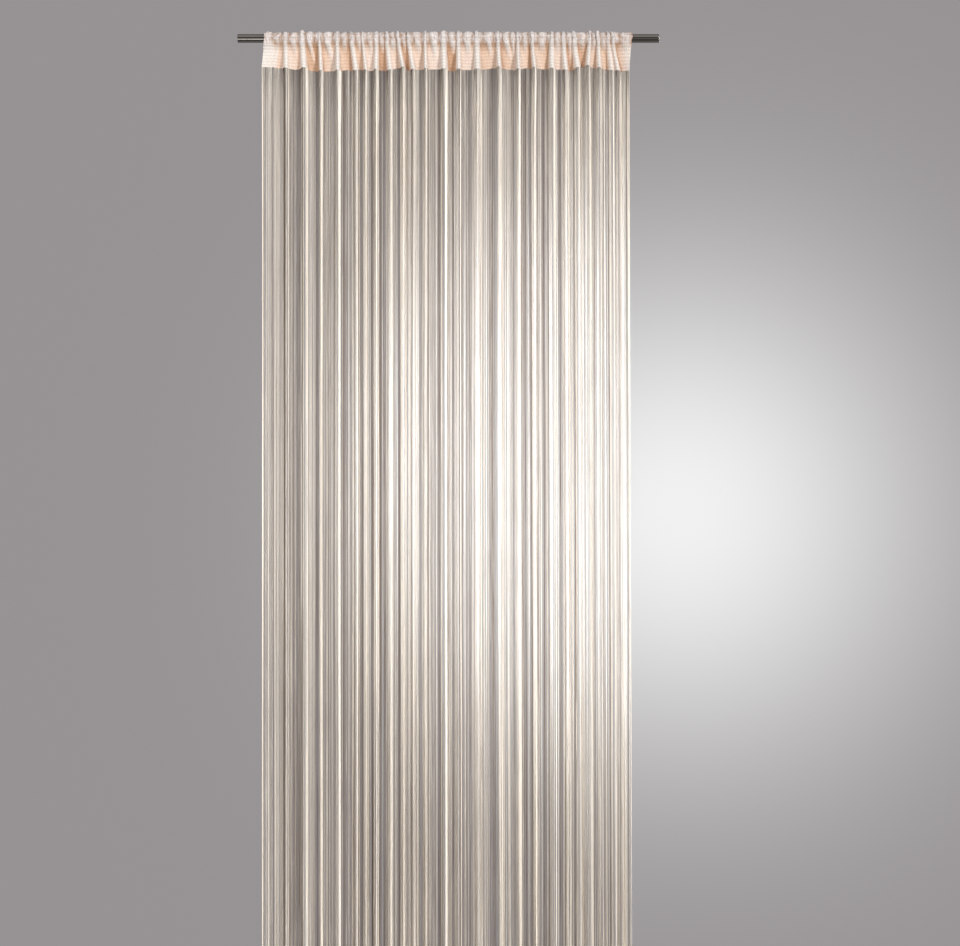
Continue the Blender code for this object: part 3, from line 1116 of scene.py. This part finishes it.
    def hang(self, name: str, picked: Array, mat: Material) -> Object:
        """Makes one layer of strings and hangs it from the band.

        Args:
            name: The layer's name.
            picked: Which strings are in it.
            mat: The yarn.

        Returns:
            The layer, as one piece.
        """
        one = self.one_string()
        per_string = len(one.verts)
        count = int(picked.sum())
        mesh = modified(as_mesh(one, name), "ARRAY", count=count, use_relative_offset=False,
                        use_constant_offset=True, constant_offset_displace=(4.0, 0.0, 0.0))
        local = get_places(mesh)[:per_string]
        rng = np.random.default_rng(self.seed + 1)
        ranges = (0.0, math.pi / 2.0), self.own_painted_shades, self.sizes, (-1.0, 1.0)
        yaw, tone, size, uneven = (rng.uniform(*ends, len(picked))[picked] for ends in ranges)
        number = self.numbers()[picked]
        start_x = self.gathers.edge_x(number)
        start_y = self.gathers.edge_y(start_x)
        start_z = self.gathers.edge_z(start_x) + 1.0 * MM
        down = np.broadcast_to(-local[:, 2], (count, per_string))
        rows = down.shape
        wander = self.drift(np.repeat(start_x, per_string), np.repeat(number, per_string),
                            down.ravel()).reshape(*rows, 2)
        end_z = self.low_z + (1.0 + uneven) * self.uneven_end
        cos, sin = np.cos(yaw)[:, None], np.sin(yaw)[:, None]
        radius = self.radius * size[:, None]
        x = start_x[:, None] + wander[..., 0] + radius * (local[:, 0] * cos - local[:, 1] * sin)
        y = start_y[:, None] + wander[..., 1] + radius * (local[:, 0] * sin + local[:, 1] * cos)
        z = start_z[:, None] + (end_z - start_z)[:, None] * down
        set_places(mesh, np.stack([x, y, z], axis=2).reshape(-1, 3))
        strip = (np.arange(count)[:, None] + 0.25 + 0.25 * (local[:, 0] + 1.0)) / count
        set_map(mesh, YARN_MAP, np.stack([strip.ravel(), (1.0 - down).ravel()], axis=1))
        # the tone carries each string's painted light and shade
        set_values(mesh, "tone", np.repeat(self.tones(number, tone), per_string))
        mesh.shade_smooth()
        return add_piece(name, mesh, mat, "string_comb")


# ---- The studio ----


@dataclass(frozen=True)
class Lamp:
    """A large soft lamp, or a round pool of light where it has a cone.

    Flags on its stand keep it off the pieces that it isn't for.
    """

    lit: str  # the pieces that it lights
    name: str
    place: Triple
    aim: Triple
    power: float
    size: Pair = (1.0, 1.0)
    cone: float = 0.0  # across the whole cone, in degrees
    softness: float = 0.12  # the radius of a lamp with a cone
    colour: str = "#FFFFFF"

    def build(self, pieces: list[Object]) -> None:
        """Hangs the lamp, points it and keeps it off all but its own pieces.

        Args:
            pieces: What it lights.
        """
        lamp = bpy.data.lights.new(self.name, "SPOT" if self.cone else "AREA")
        if self.cone:
            lamp.spot_size, lamp.spot_blend = math.radians(self.cone), 1.0
            lamp.shadow_soft_size = self.softness
        else:
            lamp.shape = "RECTANGLE"
            lamp.size, lamp.size_y = self.size
        lamp.energy, lamp.color = self.power, srgb(self.colour)[:3]
        hung = put(self.name, lamp)
        hung.location = self.place
        towards = Vector(self.aim) - Vector(self.place)
        hung.rotation_euler = towards.to_track_quat("-Z", "Y").to_euler()
        hung.visible_camera = False
        lit = bpy.data.collections.new(self.name)
        for piece in pieces:
            lit.objects.link(piece)
        hung.light_linking.receiver_collection = lit


@dataclass(frozen=True)
class Studio:
    """A plain pale floor, soft grey surroundings with a glow behind, soft lamps and the camera."""

    lamps: tuple[Lamp, ...] = (
        Lamp("curtain", "key_light", (6.4, -6.4, 0.8), (0.0, 0.0, -0.9), 420.0, (1.2, 4.0)),
        Lamp("curtain", "back_key", (5.0, 5.5, 0.6), (0.0, 0.0, -1.0), 400.0, (2.0, 4.0)),
        Lamp("curtain", "back_fill", (-5.5, 4.5, 0.0), (0.0, 0.0, -1.0), 180.0, (3.0, 4.0)),
        Lamp("strings", "back_lift", (-5.5, 4.5, 0.0), (0.0, 0.0, -1.0), 320.0, (3.0, 4.0)),
        Lamp("strings", "side_light", (8.4, -3.3, 0.2), (0.0, 0.0, -1.2), 690.0, (0.8, 4.0)),
        Lamp("front", "string_fill", (0.5, -6.0, -1.2), (0.0, 0.0, -1.2), 120.0, (3.0, 3.0),
             colour="#FFF2E4"),
        Lamp("front", "pool_light", (-0.8, -3.4, -0.9), (0.42, 0.0, -1.05), 420.0, cone=33.0,
             colour="#F6FAFF"),
        Lamp("back", "gap_light", (0.1, -3.7, -1.0), (0.42, 0.0, -1.0), 1600.0, cone=24.0,
             colour="#DCE9FF"),
        Lamp("band", "heading_key", (6.4, -6.4, 1.2), (0.0, 0.0, 0.0), 238.0, (1.2, 3.0)),
        Lamp("band", "heading_fill", (-1.6, -2.6, 0.3), (0.0, 0.0, 0.0), 50.0, (1.2, 1.2)),
        Lamp("rod", "rod_card", (-1.3, -2.6, -1.8), (-1.3, 0.0, 0.0), 15.0, (2.4, 0.7)),
        Lamp("floor", "floor_light", (0.0, -3.0, 6.0), (0.0, -3.0, 0.0), 700.0, (9.0, 9.0)),
    )
    eye: Triple = (0.0753, -3.8, -1.032)
    lens: float = 60.0
    grey: str = "#979394"
    glow: str = "#F1F1F1"
    glow_aim: Triple = (0.125, 1.0, -0.023)
    glow_width: float = 0.15
    ambient: float = 0.32  # how much of the surroundings' light reaches the curtain
    # What a mirror bar shows of the room, by the angle over straight ahead, in degrees
    room: tuple[Pair, ...] = (
        (-180.0, 0.5), (-101.0, 0.9), (-65.0, 0.3), (-35.0, 0.4), (-7.0, 1.0), (20.0, 0.0),
        (49.0, 2.6), (82.0, 0.9), (126.0, 0.7), (180.0, 0.5),
    )
    floor_colour: str = "#D8D6D3"
    floor_gap: float = 20.0 * MM  # under the string ends
    floor_half: float = 6.0
    floor_behind: float = 1.0  # how far it runs behind the curtain

    def build(self, pieces: dict[str, list[Object]]) -> None:
        """Sets everything up.

        Args:
            pieces: The curtain's pieces, by the name that the lamps know them by.
        """
        scene = bpy.context.scene
        scene.view_settings.view_transform = "Standard"
        self._camera(scene)
        self._surroundings(scene)
        groups = {**pieces, "strings": [*pieces["front"], *pieces["back"]],
                  "curtain": [piece for group in pieces.values() for piece in group],
                  "floor": [self._floor()]}
        for lamp in self.lamps:
            lamp.build(groups[lamp.lit])

    def _camera(self, scene: Scene) -> None:
        """Places the camera level, square to the curtain and well below the rod.

        Args:
            scene: The scene.
        """
        data = bpy.data.cameras.new("camera")
        data.lens = self.lens
        camera = put("camera", data)
        camera.location = self.eye
        camera.rotation_euler = (math.pi / 2.0, 0.0, 0.0)
        scene.camera = camera

    def _surroundings(self, scene: Scene) -> None:
        """Fills the surroundings with grey, and a soft glow in one direction.

        Args:
            scene: The scene.
        """
        world = bpy.data.worlds.new("soft_grey")
        world.use_nodes = True
        scene.world = world
        tree = world.node_tree
        add = partial(add_node, tree)
        way = add("TexCoord").outputs["Generated"]
        aim = Vector(self.glow_aim).normalized()
        away = add("VectorMath", way, aim, operation="DISTANCE").outputs["Value"]
        square = add("Math", away, 2.0, operation="POWER")
        spread = add("Math", square, -1.0 / self.glow_width**2, operation="MULTIPLY")
        fall = add("Math", spread, operation="EXPONENT")
        colour = add("Mix", Factor=fall, A=srgb(self.grey), B=srgb(self.glow), data_type="RGBA")
        parts = add("SeparateXYZ", Vector=way)
        ahead = add("Math", parts.outputs["Y"], -1.0, operation="MULTIPLY")
        angle = add("Math", parts.outputs["Z"], ahead, operation="ARCTAN2")
        turn = add("Math", angle, 0.5 / math.pi, 0.5, operation="MULTIPLY_ADD")
        room = add("ValToRGB", Fac=turn)
        stops = room.color_ramp.elements
        for degrees, level in self.room[1:-1]:
            stops.new(0.5 + degrees / 360.0).color = (level, level, level, 1.0)
        for stop, (_, level) in ((stops[0], self.room[0]), (stops[-1], self.room[-1])):
            stop.color = (level, level, level, 1.0)
        path = add("LightPath")
        seen = add("Mix", Factor=path.outputs["Is Glossy Ray"], A=colour, B=room, data_type="RGBA")
        strength = add("MapRange", Value=path.outputs["Is Camera Ray"], To_Min=self.ambient, To_Max=1.0)
        feed(tree.nodes["Background"], Color=seen, Strength=strength)

    def _floor(self) -> Object:
        """Lays a plain pale floor just under the string ends.

        It is seen, but it throws no light back up and doesn't show in the rod.

        Returns:
            The floor.
        """
        low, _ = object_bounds()
        bm = bmesh.new()
        bmesh.ops.create_grid(bm, x_segments=1, y_segments=1, size=self.floor_half)
        place = (0.0, self.floor_behind - self.floor_half, low.z - self.floor_gap)
        bmesh.ops.translate(bm, vec=place, verts=bm.verts)
        mesh = as_mesh(bm, "floor")
        mat, _, shader = new_material("matt pale floor")
        feed(shader, Base_Color=srgb(self.floor_colour), Roughness=0.9)
        mesh.materials.append(mat)
        floor = put("floor", mesh)
        floor.visible_diffuse = floor.visible_glossy = False
        floor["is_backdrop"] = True
        return floor


# ---- Putting it together ----


def main() -> None:
    """Builds the curtain and the studio."""
    logging.basicConfig(level=logging.INFO, format="%(message)s")
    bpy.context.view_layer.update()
    rod = Rod()
    bar = rod.build()
    gathers = Gathers()
    band = HeadingBand(gathers, rod.radius)
    cloth = band.build()
    strings = Strings(gathers).build()
    log.info("flat width %.3f m, flat length %.3f m", gathers.flat_width, band.section_length)
    Studio().build({"rod": [bar], "band": [cloth], "front": strings[:1], "back": strings[1:]})


if __name__ == "__main__":
    main()
